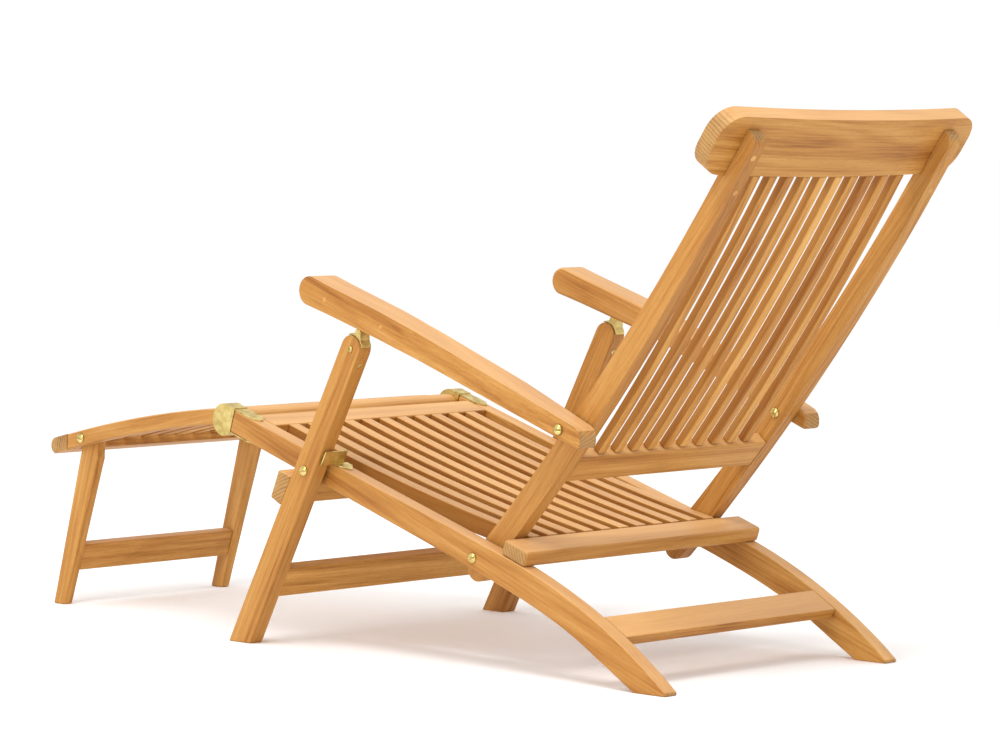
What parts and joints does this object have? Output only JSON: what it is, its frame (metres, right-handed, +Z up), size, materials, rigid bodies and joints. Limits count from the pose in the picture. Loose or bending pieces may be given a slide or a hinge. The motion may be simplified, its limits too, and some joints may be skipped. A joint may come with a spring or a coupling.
{
  "type": "steamer deck chair",
  "caption": "Folding wooden recliner with slatted seat and back, curved arms, crossed front legs, brass fittings and a hinged footrest on its own legs.",
  "frame": {"origin": "bottom centre of the whole chair's box, on the ground", "axes": "+Z up; -Y the way the sitter faces, towards the footrest; +X to the sitter's left"},
  "size_m": [0.607, 1.547, 0.8256],
  "materials": {
    "teak_frame": "oiled teak, satin, fine straight grain, eased edges",
    "teak_slats": "oiled teak, satin, a little paler and pinker on the upper faces",
    "brass": "satin brass, slightly hammered and dulled"
  },
  "bodies": {
    "seat_frame": {"back_bolt_left": "brass", "back_bolt_right": "brass", "knee_cap_left": "brass", "knee_cap_right": "brass", "leg_stop_bar": "teak_frame", "rear_stretcher": "teak_frame", "seat_front_rail": "teak_frame", "seat_rear_bar": "teak_frame", "seat_slat_1": "teak_slats", "seat_slat_10": "teak_slats", "seat_slat_11": "teak_slats", "seat_slat_2": "teak_slats", "seat_slat_3": "teak_slats", "seat_slat_4": "teak_slats", "seat_slat_5": "teak_slats", "seat_slat_6": "teak_slats", "seat_slat_7": "teak_slats", "seat_slat_8": "teak_slats", "seat_slat_9": "teak_slats", "side_rail_left": "teak_frame", "side_rail_right": "teak_frame", "stop_bracket_left": "brass", "stop_bracket_right": "brass"},
    "back": {"arm_bolt_left": "brass", "arm_bolt_right": "brass", "back_lower_rail": "teak_frame", "back_slat_1": "teak_slats", "back_slat_10": "teak_slats", "back_slat_2": "teak_slats", "back_slat_3": "teak_slats", "back_slat_4": "teak_slats", "back_slat_5": "teak_slats", "back_slat_6": "teak_slats", "back_slat_7": "teak_slats", "back_slat_8": "teak_slats", "back_slat_9": "teak_slats", "headboard": "teak_frame", "stile_left": "teak_frame", "stile_right": "teak_frame"},
    "arm_left": {"arm_left": "teak_frame", "arm_plate_left": "brass"},
    "arm_right": {"arm_plate_right": "brass", "arm_right": "teak_frame"},
    "front_legs": {"arm_hook_left": "brass", "arm_hook_right": "brass", "front_leg_left": "teak_frame", "front_leg_right": "teak_frame", "leg_bolt_left": "brass", "leg_bolt_right": "brass", "leg_stretcher": "teak_frame"},
    "footrest": {"footrest_hinge_bar": "teak_frame", "footrest_panel": "teak_frame", "footrest_rail_left": "teak_frame", "footrest_rail_right": "teak_frame"},
    "footrest_legs": {"footrest_bolt_left": "brass", "footrest_bolt_right": "brass", "footrest_leg_left": "teak_frame", "footrest_leg_right": "teak_frame", "footrest_stretcher": "teak_frame"}
  },
  "joints": [
    {"name": "back_fold", "type": "hinge", "parent": "seat_frame", "child": "back", "pos_m": [0, 0.26493, 0.16541], "axis": [1, 0, 0], "range_deg": [0, 94]},
    {"name": "arm_left_fold", "type": "hinge", "parent": "back", "child": "arm_left", "pos_m": [0.2525, 0.44542, 0.36481], "axis": [1, 0, 0], "range_deg": [-94, 0]},
    {"name": "arm_right_fold", "type": "hinge", "parent": "back", "child": "arm_right", "pos_m": [-0.2525, 0.44542, 0.36481], "axis": [1, 0, 0], "range_deg": [-94, 0]},
    {"name": "leg_fold", "type": "hinge", "parent": "seat_frame", "child": "front_legs", "pos_m": [0, -0.05787, 0.27373], "axis": [1, 0, 0], "range_deg": [0, 86.5]},
    {"name": "footrest_fold", "type": "hinge", "parent": "seat_frame", "child": "footrest", "pos_m": [0, -0.27204, 0.337], "axis": [1, 0, 0], "range_deg": [-60, 0]},
    {"name": "footrest_leg_fold", "type": "hinge", "parent": "footrest", "child": "footrest_legs", "pos_m": [0, -0.67454, 0.28132], "axis": [1, 0, 0], "range_deg": [0, 100]}
  ],
  "couplings": [
    {"joint": "arm_left_fold", "follows": "back_fold", "ratio": -1},
    {"joint": "arm_right_fold", "follows": "back_fold", "ratio": -1},
    {"joint": "leg_fold", "follows": "back_fold", "ratio": 0.92}
  ]
}
